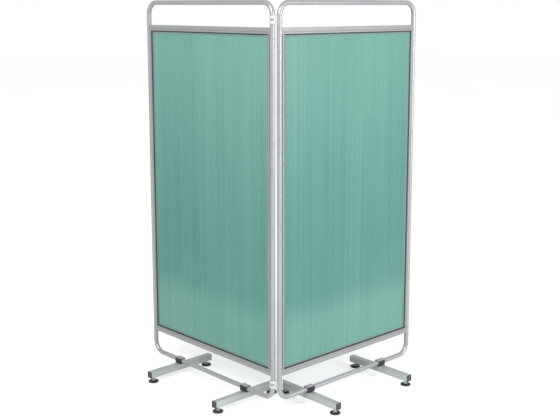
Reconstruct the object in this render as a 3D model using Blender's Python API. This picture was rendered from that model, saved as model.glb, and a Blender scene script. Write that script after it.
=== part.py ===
"""Folding welding screen: two rigid tinted sheets in bent tube loops, joined by snap clips.

The apex stands towards -X -Y; the left wing runs along +Y and the right wing along +X.
Wing coordinates are (along the wing from the hinge-side upright, towards its front, up).
All lengths are in metres.
"""
import math

import bmesh
import bpy
from mathutils import Matrix, Vector

# Overall sizes
WING_WIDTH = 1.015
LOOP_HEIGHT = 1.997
UPRIGHT_GAP = 0.008

# Bent tube loop
TUBE_DIAMETER = 0.025
TUBE_WALL = 0.0015
BEND_RADIUS = 0.062
BEND_STEPS = 5

# Panel framing
RAIL_HEIGHT = 0.030
RAIL_SETBACK = 0.0015
TOP_RAIL_DROP = 0.131
BOTTOM_RAIL_RISE = 0.136
RAIL_EDGE = 0.002
STILE_WIDTH = 0.010
STILE_WEB = 0.0042
SHEET_THICKNESS = 0.006
SHEET_OFFSET = -0.002
GASKET_WALL = 0.0015
GASKET_SHOWING = 0.0060

# Outriggers, end caps and levelling feet
BAR_SIDE = 0.035
BAR_WALL = 0.002
BAR_CORNER = 0.0015
BAR_REACH = 0.212
BAR_TIP_GAP = 0.0058
BAR_INSET_OUTER = 0.224
CAP_THICKNESS = 0.004
CAP_PLUG = 0.014
CAP_EDGE = 0.001
FOOT_REACH = 0.185
FOOT_HEIGHT = 0.0272
DISC_DIAMETER = 0.055
DISC_EDGE = 0.006
DISC_SLOPE = 0.004
DISC_CROWN = 0.003
HUB_DIAMETER = 0.020
HUB_HEIGHT = 0.0158
HUB_FLARE = 0.002
STUD_DIAMETER = 0.008
STUD_BITE = 0.0208

# Tube clamps
SEAT_DEPTH = 0.0042
SEAT_LENGTH = 0.050
SEAT_WALL = 0.0027
SADDLE_LENGTH = 0.052
SADDLE_THICKNESS = 0.0025
SADDLE_ARCH = 0.0015
BOLT_DIAMETER = 0.006
BOLT_HEAD_DIAMETER = 0.014
BOLT_HEAD_HEIGHT = 0.004
BOLT_TAIL = 0.003
NUT_WIDTH = 0.010
NUT_HEIGHT = 0.005

# Hinge clips
CLIP_HEIGHT = 0.037
CLIP_OFF_BEND = 0.0005
CLIP_WALL = 0.0042
JAW_TIP = -15.0
JAW_ROOT = 215.0

# Panel screws
SCREW_DROP_UPPER = 0.184
SCREW_DROP_LOWER = 0.219
SCREW_DIAMETER = 0.004
SCREW_BITE = 0.0030
SCREW_HEAD_DIAMETER = 0.008
SCREW_HEAD_HEIGHT = 0.0014
HEAD_EDGE = 0.3
HEAD_SHOULDER = 0.8
HEAD_SHOULDER_RADIUS = 0.75
HEAD_CROWN_RADIUS = 0.35

# Fits and facets
GAP = 0.0003
RUNNING_GAP = 0.0001
TUBE_SIDES = 16
HOLE_SIDES = 12
SCREW_SIDES = 8
CLIP_SIDES = 20
FOOT_SIDES = 16
ARC_STEPS = 10
ARCH_STEPS = 4
SMOOTH_ANGLE = math.radians(35.0)

# Sizes that follow
TUBE_RADIUS = TUBE_DIAMETER / 2
WING_SPAN = WING_WIDTH - TUBE_DIAMETER
AXIS_SPACING = TUBE_DIAMETER + UPRIGHT_GAP
HINGE_OFFSET = AXIS_SPACING / 2 * math.sqrt(0.5)
BAR_INSET_INNER = BAR_REACH + BAR_SIDE / 2 + BAR_TIP_GAP - 2 * HINGE_OFFSET
RAIL_DEPTH = TUBE_DIAMETER - 2 * RAIL_SETBACK
RAIL_END = math.sqrt((TUBE_RADIUS + GAP) ** 2 - (RAIL_DEPTH / 2) ** 2) + RAIL_EDGE
SEAT_WIDTH = 2 * (TUBE_RADIUS + GAP + SEAT_WALL)
STUD_TOP = FOOT_HEIGHT + STUD_BITE
BAR_TOP = FOOT_HEIGHT + BAR_SIDE
BAR_MIDDLE = FOOT_HEIGHT + BAR_SIDE / 2
TUBE_LOW = BAR_TOP + SEAT_DEPTH + TUBE_RADIUS
TUBE_HIGH = TUBE_LOW + LOOP_HEIGHT - TUBE_DIAMETER
LOOP_TOP = TUBE_HIGH + TUBE_RADIUS
LOOP_BOTTOM = TUBE_LOW - TUBE_RADIUS
STILE_START = TUBE_RADIUS + GAP
STILE_END = STILE_START + STILE_WIDTH
GASKET_HALF = SHEET_THICKNESS / 2 + GAP + GASKET_WALL
SLOT_HALF = GASKET_HALF + GAP
SLOT_DEPTH = STILE_WIDTH - STILE_WEB
TOP_RAIL_LOW = LOOP_TOP - TOP_RAIL_DROP - RAIL_HEIGHT
BOTTOM_RAIL_HIGH = LOOP_BOTTOM + BOTTOM_RAIL_RISE + RAIL_HEIGHT
SADDLE_LOW = TUBE_LOW + TUBE_RADIUS + GAP
SADDLE_HIGH = SADDLE_LOW + SADDLE_ARCH + SADDLE_THICKNESS
CLIP_RADIUS = TUBE_RADIUS + RUNNING_GAP + CLIP_WALL
CLIP_INSET = TUBE_RADIUS + BEND_RADIUS + CLIP_OFF_BEND + CLIP_HEIGHT / 2
NEAR_SIDE = -HINGE_OFFSET - BAR_REACH
FAR_SIDE = HINGE_OFFSET + WING_SPAN + TUBE_RADIUS + GAP + SCREW_HEAD_HEIGHT
APEX = -(NEAR_SIDE + FAR_SIDE) / 2

SIDES = ("left", "right")
BARS = {"inner": BAR_INSET_INNER, "outer": WING_SPAN - BAR_INSET_OUTER}
FACINGS = {"front": 1, "rear": -1}
UPRIGHTS = {"inner": 1, "outer": -1}
SCREWS = {"upper": LOOP_TOP - SCREW_DROP_UPPER, "lower": LOOP_TOP - SCREW_DROP_LOWER}

# Finishes: colour, roughness, metallic
SILVER_PAINT = ((0.62, 0.63, 0.64), 0.42, 0.35)
RAIL_PAINT = ((0.48, 0.49, 0.49), 0.50, 0.30)
TINTED_SHEET = ((0.16, 0.42, 0.34), 0.30, 0.0)
DARK_RUBBER = ((0.045, 0.085, 0.075), 0.80, 0.0)
BAR_PAINT = ((0.56, 0.58, 0.60), 0.45, 0.30)
CAP_PLASTIC = ((0.075, 0.075, 0.082), 0.65, 0.0)
FOOT_PLASTIC = ((0.030, 0.030, 0.032), 0.60, 0.0)
SEAT_PLASTIC = ((0.022, 0.022, 0.024), 0.65, 0.0)
SADDLE_STEEL = ((0.66, 0.67, 0.68), 0.38, 0.80)
BOLT_STEEL = ((0.55, 0.56, 0.57), 0.35, 0.90)
NUT_STEEL = ((0.45, 0.46, 0.47), 0.40, 0.90)
CLIP_PLASTIC = ((0.82, 0.82, 0.80), 0.50, 0.0)
SCREW_STEEL = ((0.60, 0.61, 0.62), 0.35, 0.85)


def clear_scene():
    """Start from an empty scene."""
    for item in list(bpy.data.objects):
        bpy.data.objects.remove(item, do_unlink=True)


def wing_frame(side):
    """Matrix from wing coordinates to the shared frame; the right wing is the mirror image."""
    if side == "left":
        return Matrix(((0, -1, 0, APEX - HINGE_OFFSET), (1, 0, 0, APEX + HINGE_OFFSET),
                       (0, 0, 1, 0), (0, 0, 0, 1)))
    return Matrix(((1, 0, 0, APEX + HINGE_OFFSET), (0, -1, 0, APEX - HINGE_OFFSET),
                   (0, 0, 1, 0), (0, 0, 0, 1)))


def clip_frame():
    """Matrix from clip coordinates: X from the left upright to the right one, Y to the back."""
    turn = Matrix.Rotation(math.radians(-45.0), 4, "Z")
    return Matrix.Translation((APEX - HINGE_OFFSET, APEX + HINGE_OFFSET, 0)) @ turn


def clear_radius(radius, sides, gap=GAP):
    """Corner radius of a faceted bore whose flats clear a round piece by the given gap."""
    return (radius + gap) / math.cos(math.pi / sides)


def circle(radius, sides):
    """Corner points of a regular ring in its own plane."""
    step = 2 * math.pi / sides
    return [(radius * math.cos(k * step), radius * math.sin(k * step)) for k in range(sides)]


def arc(centre, radius, start, end, steps):
    """Points along an arc given in degrees, both ends included."""
    points = []
    for k in range(steps + 1):
        angle = math.radians(start + (end - start) * k / steps)
        points.append((centre[0] + radius * math.cos(angle), centre[1] + radius * math.sin(angle)))
    return points


def chamfered_square(half, chamfer):
    """Eight corner points of a square with its corners taken off."""
    low = half - chamfer
    return [(half, -low), (half, low), (low, half), (-low, half),
            (-half, low), (-half, -low), (-low, -half), (low, -half)]


def hexagon_twelve(width):
    """A hexagon across the given flats, with a point at the middle of every flat."""
    flat = width / 2
    corner = flat / math.cos(math.pi / 6)
    points = []
    for k in range(12):
        radius = flat if k % 2 else corner
        points.append((radius * math.cos(k * math.pi / 6), radius * math.sin(k * math.pi / 6)))
    return points


def skin(body, rings, closed=False):
    """Skin a row of equal rings; an open row is capped at both ends."""
    rows = [[body.verts.new(point) for point in ring] for ring in rings]
    pairs = list(zip(rows, rows[1:]))
    if closed:
        pairs.append((rows[-1], rows[0]))
    faces = []
    for first, second in pairs:
        for k in range(len(first)):
            j = (k + 1) % len(first)
            faces.append(body.faces.new((first[k], first[j], second[j], second[k])))
    if not closed:
        faces.append(body.faces.new(list(reversed(rows[0]))))
        faces.append(body.faces.new(rows[-1]))
    return faces


def facing_out(body):
    """Turn a single closed skin so that its faces point out of the material."""
    if body.calc_volume(signed=True) < 0:
        bmesh.ops.reverse_faces(body, faces=body.faces)
    return body


def solid(rings, closed=False):
    """A closed body skinned over one row of rings."""
    body = bmesh.new()
    skin(body, rings, closed)
    return facing_out(body)


def domed_head(radius, height, under):
    """Profile of a low domed head that sits at the given level."""
    return ((radius, under), (radius, under + HEAD_EDGE * height),
            (HEAD_SHOULDER_RADIUS * radius, under + HEAD_SHOULDER * height),
            (HEAD_CROWN_RADIUS * radius, under + height))


def turned(profile, sides, matrix):
    """A body of revolution: (radius, height) pairs about the matrix's own Z axis."""
    rings = []
    for radius, height in profile:
        rings.append([matrix @ Vector((x, y, height)) for x, y in circle(radius, sides)])
    return solid(rings)


def join(bodies):
    """Put several separate bodies into one mesh."""
    whole = bmesh.new()
    for body in bodies:
        part = bpy.data.meshes.new("part")
        body.to_mesh(part)
        body.free()
        whole.from_mesh(part)
        bpy.data.meshes.remove(part)
    return whole


def make_finish(name, finish):
    """A plain Principled material of its own for one piece."""
    colour, roughness, metallic = finish
    material = bpy.data.materials.new(name + "_finish")
    material.use_nodes = True
    shader = material.node_tree.nodes["Principled BSDF"]
    shader.inputs["Base Color"].default_value = (*colour, 1.0)
    shader.inputs["Roughness"].default_value = roughness
    shader.inputs["Metallic"].default_value = metallic
    return material


def add_mesh(name, body, frame, pivot):
    """Move a body from its own coordinates to the shared frame, its origin on the pivot."""
    body.transform(frame)
    if frame.determinant() < 0:
        bmesh.ops.reverse_faces(body, faces=body.faces)
    origin = frame @ Vector(pivot)
    body.transform(Matrix.Translation(-origin))
    mesh = bpy.data.meshes.new(name)
    body.to_mesh(mesh)
    body.free()
    item = bpy.data.objects.new(name, mesh)
    item.location = origin
    bpy.context.collection.objects.link(item)
    return item


def add_piece(name, body, frame, finish, pivot=(0, 0, 0), cutters=()):
    """Add one named piece of the screen, with the holes its cutters make."""
    piece = add_mesh(name, body, frame, pivot)
    mesh = piece.data
    mesh.materials.append(make_finish(name, finish))
    mesh.shade_smooth()
    mesh.set_sharp_from_angle(angle=SMOOTH_ANGLE)
    for cutter in cutters:
        step = piece.modifiers.new("cut " + cutter.name, "BOOLEAN")
        step.operation = "DIFFERENCE"
        step.solver = "EXACT"
        step.object = cutter
    return piece


def add_cutter(name, body, frame):
    """Add a hidden cutting body."""
    cutter = add_mesh(name, body, frame, (0, 0, 0))
    cutter.display_type = "WIRE"
    cutter.hide_render = True
    return cutter


def along(u, n, z):
    """Matrix whose own Z axis points along the wing from the given place."""
    return Matrix.Translation((u, n, z)) @ Matrix.Rotation(math.pi / 2, 4, "Y")


def back_along(u, n, z):
    """Matrix whose own Z axis points back towards the hinge from the given place."""
    return Matrix.Translation((u, n, z)) @ Matrix.Rotation(-math.pi / 2, 4, "Y")


def upright_axis(which):
    """Distance of an upright's axis from the hinge-side upright."""
    return 0.0 if which == "inner" else WING_SPAN


def screw_place(which, height):
    """Matrix at an upright's axis whose own Z axis points away from the sheet."""
    if which == "inner":
        return back_along(0.0, 0.0, height)
    return along(WING_SPAN, 0.0, height)


def make_drill(side, frame):
    """All round holes of one wing: clamp bolts, foot studs and panel screws."""
    bolt_radius = clear_radius(BOLT_DIAMETER / 2, HOLE_SIDES)
    stud_radius = clear_radius(STUD_DIAMETER / 2, HOLE_SIDES, RUNNING_GAP)
    screw_radius = clear_radius(SCREW_DIAMETER / 2, HOLE_SIDES)
    holes = []
    for inset in BARS.values():
        span = ((bolt_radius, FOOT_HEIGHT - BAR_SIDE / 2), (bolt_radius, SADDLE_HIGH + BAR_SIDE / 2))
        holes.append(turned(span, HOLE_SIDES, Matrix.Translation((inset, 0, 0))))
        for facing in FACINGS.values():
            span = ((stud_radius, FOOT_HEIGHT / 2), (stud_radius, BAR_MIDDLE))
            holes.append(turned(span, HOLE_SIDES, Matrix.Translation((inset, facing * FOOT_REACH, 0))))
    for which in UPRIGHTS:
        for height in SCREWS.values():
            tip = -(STILE_START + SCREW_BITE + GAP)
            span = ((screw_radius, tip), (screw_radius, TUBE_DIAMETER))
            holes.append(turned(span, HOLE_SIDES, screw_place(which, height)))
    return add_cutter("drill_" + side, join(holes), frame)


def make_cope(side, frame):
    """The two upright-sized bodies that hollow the rail ends."""
    radius = clear_radius(TUBE_RADIUS, TUBE_SIDES)
    span = ((radius, LOOP_BOTTOM), (radius, LOOP_TOP))
    bodies = []
    for which in UPRIGHTS:
        bodies.append(turned(span, TUBE_SIDES, Matrix.Translation((upright_axis(which), 0, 0))))
    return add_cutter("cope_" + side, join(bodies), frame)


def loop_rings(radius):
    """Sections of the bent tube, once round its rounded rectangle."""
    low = TUBE_LOW + BEND_RADIUS
    high = TUBE_HIGH - BEND_RADIUS
    far = WING_SPAN - BEND_RADIUS
    rings = []
    for u, z, start in ((far, high, 0), (BEND_RADIUS, high, 90), (BEND_RADIUS, low, 180), (far, low, 270)):
        for step in range(BEND_STEPS + 1):
            angle = math.radians(start + 90 * step / BEND_STEPS)
            out = Vector((math.cos(angle), 0, math.sin(angle)))
            centre = Vector((u, 0, z)) + out * BEND_RADIUS
            rings.append([centre + out * x + Vector((0, y, 0)) for x, y in circle(radius, TUBE_SIDES)])
    return rings


def make_loop(side, frame, drill):
    """The hollow bent tube that carries everything on one wing."""
    outside = solid(loop_rings(TUBE_RADIUS), closed=True)
    inside = solid(loop_rings(TUBE_RADIUS - TUBE_WALL), closed=True)
    bmesh.ops.reverse_faces(inside, faces=inside.faces)
    add_piece("loop_" + side, join([outside, inside]), frame, SILVER_PAINT, cutters=[drill])


def channel(width, depth, web):
    """Slotted section: slot open towards +X, with the sheet's offset in the second direction."""
    slot = SHEET_OFFSET
    return [(0, -depth / 2), (width, -depth / 2), (width, slot - SLOT_HALF), (web, slot - SLOT_HALF),
            (web, slot + SLOT_HALF), (width, slot + SLOT_HALF), (width, depth / 2), (0, depth / 2)]


def make_rails(side, frame, cope):
    """Top and bottom rails, slotted for the sheet and hollowed to fit the uprights."""
    section = channel(RAIL_HEIGHT, RAIL_DEPTH, RAIL_HEIGHT - SLOT_DEPTH)
    ends = (RAIL_END, WING_SPAN - RAIL_END)
    top = TOP_RAIL_LOW + RAIL_HEIGHT
    bottom = BOTTOM_RAIL_HIGH - RAIL_HEIGHT
    upper = solid([[(u, n, top - z) for z, n in section] for u in ends])
    lower = solid([[(u, n, bottom + z) for z, n in section] for u in ends])
    add_piece("top_rail_" + side, upper, frame, RAIL_PAINT, cutters=[cope])
    add_piece("bottom_rail_" + side, lower, frame, RAIL_PAINT, cutters=[cope])


def make_stiles(side, frame, drill):
    """The narrow slotted profiles beside the two uprights."""
    section = channel(STILE_WIDTH, RAIL_DEPTH, STILE_WEB)
    heights = (BOTTOM_RAIL_HIGH + GAP, TOP_RAIL_LOW - GAP)
    for which, sense in UPRIGHTS.items():
        axis = upright_axis(which)
        body = solid([[(axis + sense * (STILE_START + u), n, z) for u, n in section] for z in heights])
        add_piece(which + "_stile_" + side, body, frame, SILVER_PAINT, cutters=[drill])


def panel_corners(inset):
    """Corners of a rectangle the given distance inside the gasket's outer edge."""
    start = STILE_START + STILE_WEB + GAP + inset
    low = BOTTOM_RAIL_HIGH - SLOT_DEPTH + GAP + inset
    high = TOP_RAIL_LOW + SLOT_DEPTH - GAP - inset
    return ((start, low), (WING_SPAN - start, low), (WING_SPAN - start, high), (start, high))


def make_gasket(side, frame):
    """The dark edge seal, a channel bent round the four edges of the sheet."""
    width = SLOT_DEPTH - GAP + GASKET_SHOWING
    pocket = GASKET_HALF - GASKET_WALL
    section = ((0, GASKET_HALF), (width, GASKET_HALF), (width, pocket), (GASKET_WALL, pocket),
               (GASKET_WALL, -pocket), (width, -pocket), (width, -GASKET_HALF), (0, -GASKET_HALF))
    rings = []
    for corner in range(4):
        rings.append([(panel_corners(inset)[corner][0], SHEET_OFFSET + n, panel_corners(inset)[corner][1])
                      for inset, n in section])
    add_piece("gasket_" + side, solid(rings, closed=True), frame, DARK_RUBBER)


def make_sheet(side, frame):
    """The rigid tinted sheet."""
    corners = panel_corners(GASKET_WALL + GAP)
    faces = (SHEET_OFFSET - SHEET_THICKNESS / 2, SHEET_OFFSET + SHEET_THICKNESS / 2)
    body = solid([[(u, n, z) for u, z in corners] for n in faces])
    add_piece("sheet_" + side, body, frame, TINTED_SHEET)


def make_screws(side, frame):
    """Domed screws from the far side of each upright into the stile behind it."""
    under = TUBE_RADIUS + GAP
    shank = SCREW_DIAMETER / 2
    profile = ((shank, -(STILE_START + SCREW_BITE)), (shank, under),
               *domed_head(SCREW_HEAD_DIAMETER / 2, SCREW_HEAD_HEIGHT, under))
    for which in UPRIGHTS:
        for level, height in SCREWS.items():
            place = screw_place(which, height)
            body = turned(profile, SCREW_SIDES, place)
            pivot = (upright_axis(which), 0, height)
            add_piece("screw_" + side + "_" + which + "_" + level, body, frame, SCREW_STEEL, pivot)


def make_bar(side, frame, drill, place, inset):
    """One hollow square outrigger across the wing."""
    end = BAR_REACH - CAP_THICKNESS - GAP
    outer = chamfered_square(BAR_SIDE / 2, BAR_CORNER)
    inner = chamfered_square(BAR_SIDE / 2 - BAR_WALL, BAR_CORNER / 2)
    rings = []
    for section, n in ((outer, -end), (outer, end), (inner, end), (inner, -end)):
        rings.append([(inset + x, n, BAR_MIDDLE + y) for x, y in section])
    body = solid(rings, closed=True)
    add_piece("outrigger_" + side + "_" + place, body, frame, BAR_PAINT, (inset, 0, BAR_MIDDLE), [drill])


def make_cap(side, frame, place, inset, facing):
    """A plastic end cap plugged into an outrigger."""
    sense = FACINGS[facing]
    shoulder = BAR_REACH - CAP_THICKNESS
    face = chamfered_square(BAR_SIDE / 2, BAR_CORNER)
    rim = chamfered_square(BAR_SIDE / 2 - CAP_EDGE, BAR_CORNER)
    plug = chamfered_square(BAR_SIDE / 2 - BAR_WALL - GAP, BAR_CORNER / 2)
    rings = []
    for section, n in ((plug, shoulder - CAP_PLUG), (plug, shoulder), (face, shoulder),
                       (face, BAR_REACH - CAP_EDGE), (rim, BAR_REACH)):
        rings.append([(inset + x, sense * n, BAR_MIDDLE + y) for x, y in section])
    pivot = (inset, sense * shoulder, BAR_MIDDLE)
    add_piece("cap_" + side + "_" + place + "_" + facing, solid(rings), frame, CAP_PLASTIC, pivot)


def make_foot(side, frame, place, inset, facing):
    """A levelling foot: disc, hub and the stud that screws into the outrigger."""
    disc = DISC_DIAMETER / 2
    hub = HUB_DIAMETER / 2
    stud = STUD_DIAMETER / 2
    shoulder = DISC_EDGE + DISC_CROWN
    profile = ((disc, 0), (disc, DISC_EDGE), (disc - DISC_SLOPE, shoulder), (hub + HUB_FLARE, shoulder + HUB_FLARE),
               (hub, HUB_HEIGHT), (stud, HUB_HEIGHT), (stud, STUD_TOP))
    centre = (inset, FACINGS[facing] * FOOT_REACH, 0)
    body = turned(profile, FOOT_SIDES, Matrix.Translation(centre))
    add_piece("foot_" + side + "_" + place + "_" + facing, body, frame, FOOT_PLASTIC, centre)


def make_seat(side, frame, drill, place, inset):
    """The black clamp block that cradles the bottom tube on an outrigger."""
    half = SEAT_WIDTH / 2
    base = BAR_TOP + GAP
    top = TUBE_LOW + TUBE_RADIUS
    groove = clear_radius(TUBE_RADIUS, TUBE_SIDES)
    cradle = arc((0, TUBE_LOW), groove, 0, -180, ARC_STEPS)
    section = [(-half, base), (half, base), (half, top), (groove, top), *cradle, (-groove, top), (-half, top)]
    ends = (inset - SEAT_LENGTH / 2, inset + SEAT_LENGTH / 2)
    body = solid([[(u, n, z) for n, z in section] for u in ends])
    add_piece("seat_" + side + "_" + place, body, frame, SEAT_PLASTIC, (inset, 0, base), [drill])


def make_saddle(side, frame, drill, place, inset):
    """The slightly arched steel plate over the tube at a clamp."""
    half = SEAT_WIDTH / 2
    under = []
    for k in range(ARCH_STEPS + 1):
        n = -half + SEAT_WIDTH * k / ARCH_STEPS
        under.append((n, SADDLE_LOW + SADDLE_ARCH * (1 - (n / half) ** 2)))
    section = under + [(n, z + SADDLE_THICKNESS) for n, z in reversed(under)]
    ends = (inset - SADDLE_LENGTH / 2, inset + SADDLE_LENGTH / 2)
    body = solid([[(u, n, z) for n, z in section] for u in ends])
    add_piece("saddle_" + side + "_" + place, body, frame, SADDLE_STEEL, (inset, 0, SADDLE_LOW), [drill])


def make_bolt(side, frame, place, inset):
    """The domed bolt through saddle, tube, seat and outrigger."""
    head = BOLT_HEAD_DIAMETER / 2
    shank = BOLT_DIAMETER / 2
    under = SADDLE_HIGH + GAP
    tail = FOOT_HEIGHT - GAP - NUT_HEIGHT - BOLT_TAIL
    profile = ((shank, tail), (shank, under), *domed_head(head, BOLT_HEAD_HEIGHT, under))
    body = turned(profile, HOLE_SIDES, Matrix.Translation((inset, 0, 0)))
    add_piece("bolt_" + side + "_" + place, body, frame, BOLT_STEEL, (inset, 0, under))


def make_nut(side, frame, place, inset):
    """The nut under an outrigger."""
    top = FOOT_HEIGHT - GAP
    bottom = top - NUT_HEIGHT
    flats = hexagon_twelve(NUT_WIDTH)
    bore = circle(clear_radius(BOLT_DIAMETER / 2, HOLE_SIDES), HOLE_SIDES)
    rings = []
    for section, z in ((flats, bottom), (flats, top), (bore, top), (bore, bottom)):
        rings.append([(inset + x, y, z) for x, y in section])
    add_piece("nut_" + side + "_" + place, solid(rings, closed=True), frame, NUT_STEEL, (inset, 0, top))


def make_wing(side):
    """Everything that belongs to one wing."""
    frame = wing_frame(side)
    drill = make_drill(side, frame)
    cope = make_cope(side, frame)
    make_loop(side, frame, drill)
    make_rails(side, frame, cope)
    make_stiles(side, frame, drill)
    make_gasket(side, frame)
    make_sheet(side, frame)
    make_screws(side, frame)
    for place, inset in BARS.items():
        make_bar(side, frame, drill, place, inset)
        make_seat(side, frame, drill, place, inset)
        make_saddle(side, frame, drill, place, inset)
        make_bolt(side, frame, place, inset)
        make_nut(side, frame, place, inset)
        for facing in FACINGS:
            make_cap(side, frame, place, inset, facing)
            make_foot(side, frame, place, inset, facing)


def clip_outline():
    """Plan of a clip: round the left upright, across the gap and behind the right upright."""
    right = (AXIS_SPACING, 0.0)
    meet = math.degrees(math.acos(AXIS_SPACING / 2 / CLIP_RADIUS))
    bore = clear_radius(TUBE_RADIUS, CLIP_SIDES, RUNNING_GAP)
    ring = arc((0, 0), CLIP_RADIUS, meet, 360 - meet, CLIP_SIDES)
    jaw_inside = arc(right, bore, JAW_ROOT, JAW_TIP, CLIP_SIDES)
    jaw_outside = arc(right, CLIP_RADIUS, JAW_TIP, 180 - meet, ARC_STEPS * 2)
    return ring + jaw_inside + jaw_outside[:-1]


def make_clips():
    """The two white hinge clips."""
    frame = clip_frame()
    bore = clear_radius(TUBE_RADIUS, CLIP_SIDES, RUNNING_GAP)
    span = ((bore, LOOP_BOTTOM), (bore, LOOP_TOP))
    reamer = add_cutter("clip_bore", turned(span, CLIP_SIDES, Matrix.Identity(4)), frame)
    outline = clip_outline()
    for level, middle in (("upper", LOOP_TOP - CLIP_INSET), ("lower", LOOP_BOTTOM + CLIP_INSET)):
        heights = (middle - CLIP_HEIGHT / 2, middle + CLIP_HEIGHT / 2)
        body = solid([[(x, y, z) for x, y in outline] for z in heights])
        add_piece("clip_" + level, body, frame, CLIP_PLASTIC, (0, 0, middle), [reamer])


def main():
    """Build the whole screen."""
    clear_scene()
    for side in SIDES:
        make_wing(side)
    make_clips()


main()
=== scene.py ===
"""Visual model of a folding welding screen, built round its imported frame.

Two wings stand square to each other. Each wing is a bent tube loop that carries a slotted rail at top and
bottom, a narrow stile at each side and a ribbed translucent sheet in a dark edge seal. White clips join the
two inner uprights, and square outriggers with levelling feet are clamped under the bottom tubes.

Wing coordinates are (along the wing from its hinge-side upright, towards its front, up), in metres.
"""

import logging
import math
from dataclasses import dataclass, field
from enum import Enum
from typing import Iterable, Optional, Sequence

import bmesh
import bpy
from bmesh.types import BMesh, BMEdge, BMVert
from mathutils import Matrix, Vector

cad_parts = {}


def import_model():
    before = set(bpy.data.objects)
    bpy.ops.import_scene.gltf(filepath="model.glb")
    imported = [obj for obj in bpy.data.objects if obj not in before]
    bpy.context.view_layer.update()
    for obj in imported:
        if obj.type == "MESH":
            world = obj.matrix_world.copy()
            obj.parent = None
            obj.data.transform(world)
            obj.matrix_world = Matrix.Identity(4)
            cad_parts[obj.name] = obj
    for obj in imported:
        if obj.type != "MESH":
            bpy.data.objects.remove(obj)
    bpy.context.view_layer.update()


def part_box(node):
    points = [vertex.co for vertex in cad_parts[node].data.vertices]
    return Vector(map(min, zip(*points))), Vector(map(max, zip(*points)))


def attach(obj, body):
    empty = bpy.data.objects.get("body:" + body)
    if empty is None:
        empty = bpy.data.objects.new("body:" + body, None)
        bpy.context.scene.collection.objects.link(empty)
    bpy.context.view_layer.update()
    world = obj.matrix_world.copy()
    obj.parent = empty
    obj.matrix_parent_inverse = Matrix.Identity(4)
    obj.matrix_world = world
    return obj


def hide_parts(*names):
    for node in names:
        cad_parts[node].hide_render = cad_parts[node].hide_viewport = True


LOG = logging.getLogger("welding_screen")

Colour = tuple[float, float, float]
Point = tuple[float, float, float]


class Side(Enum):
    """The two wings, named as seen from the apex."""

    LEFT = "left"
    RIGHT = "right"


class Place(Enum):
    """Where along a wing a repeated piece stands."""

    INNER = "inner"
    OUTER = "outer"


class Facing(Enum):
    """Which way across a wing a piece lies, with its sign along the wing's front direction."""

    FRONT = "front"
    REAR = "rear"

    @property
    def sign(self) -> int:
        """+1 towards the front, -1 towards the rear."""
        return 1 if self is Facing.FRONT else -1


class Grain(Enum):
    """World axis along which a drawn, rolled or ribbed surface runs."""

    ALONG_X = "along_x"
    ALONG_Y = "along_y"
    UPRIGHT = "upright"


# ---------------------------------------------------------------------------------------------------
# Materials
# ---------------------------------------------------------------------------------------------------


class Recipe:
    """A node tree under construction, with short ways to add and join nodes."""

    def __init__(self, name: str) -> None:
        """Start a material that holds only a Principled shader.

        Args:
            name: The material's name.
        """
        self.material = bpy.data.materials.new(name)
        self.material.use_nodes = True
        self.tree = self.material.node_tree
        self.shader = self.tree.nodes["Principled BSDF"]

    def put(self, socket: bpy.types.NodeSocket, value) -> None:
        """Link an input to an output, or give it a value of its own.

        Args:
            socket: The input.
            value: A number, a colour, a vector or an output socket.
        """
        if isinstance(value, bpy.types.NodeSocket):
            self.tree.links.new(value, socket)
        else:
            socket.default_value = value

    def node(self, kind: str, inputs: Optional[dict] = None, **settings) -> bpy.types.Node:
        """Add a node.

        Args:
            kind: The node's type name.
            inputs: Values or output sockets for its inputs, by name or index.
            **settings: Properties of the node itself.

        Returns:
            The new node.
        """
        made = self.tree.nodes.new(kind)
        for key, value in settings.items():
            setattr(made, key, value)
        for key, value in (inputs or {}).items():
            self.put(made.inputs[key], value)
        return made

    def place(self, scale: Point) -> bpy.types.NodeSocket:
        """Object coordinates stretched by a scale on each axis.

        Args:
            scale: Multiplier on X, Y and Z.

        Returns:
            The socket that carries the coordinates.
        """
        coordinates = self.node("ShaderNodeTexCoord")
        mapping = self.node("ShaderNodeMapping", {"Vector": coordinates.outputs["Object"], "Scale": scale})
        return mapping.outputs["Vector"]

    def noise(self, scale: Point, detail: float = 3.0, rough: float = 0.55) -> bpy.types.NodeSocket:
        """Noise between about 0.3 and 0.7; the scale is in features per metre."""
        made = self.node("ShaderNodeTexNoise", {"Vector": self.place(scale), "Scale": 1.0, "Detail": detail,
                                                "Roughness": rough})
        return made.outputs["Fac"]

    def span(self, source: bpy.types.NodeSocket, low: float, high: float,
             start: float = 0.3, end: float = 0.7) -> bpy.types.NodeSocket:
        """Spread a value from the range start to end over the range low to high."""
        return self.node("ShaderNodeMapRange", {0: source, 1: start, 2: end, 3: low, 4: high}).outputs[0]

    def mix(self, factor, first, second, blend: str = "MIX") -> bpy.types.NodeSocket:
        """Mix two colours by a factor; each may be a value or a socket."""
        made = self.node("ShaderNodeMix", {0: factor, 6: first, 7: second}, data_type="RGBA", blend_type=blend)
        return made.outputs[2]

    def math(self, operation: str, first, second=0.0) -> bpy.types.NodeSocket:
        """One arithmetic step on two numbers or sockets."""
        return self.node("ShaderNodeMath", {0: first, 1: second}, operation=operation).outputs[0]

    def bump(self, height: bpy.types.NodeSocket, strength: float, depth: float) -> None:
        """Drive the normal from a height of 0 to 1 and the relief's real depth in metres."""
        made = self.node("ShaderNodeBump", {"Strength": strength, "Distance": depth, "Height": height})
        self.tree.links.new(made.outputs["Normal"], self.shader.inputs["Normal"])

    def feed(self, name: str, value) -> None:
        """Set or link one of the shader's inputs."""
        self.put(self.shader.inputs[name], value)


def rgba(colour: Colour, gain: float = 1.0) -> tuple[float, float, float, float]:
    """A linear colour with full opacity, made lighter or darker by a gain."""
    return (min(colour[0] * gain, 1.0), min(colour[1] * gain, 1.0), min(colour[2] * gain, 1.0), 1.0)


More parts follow.
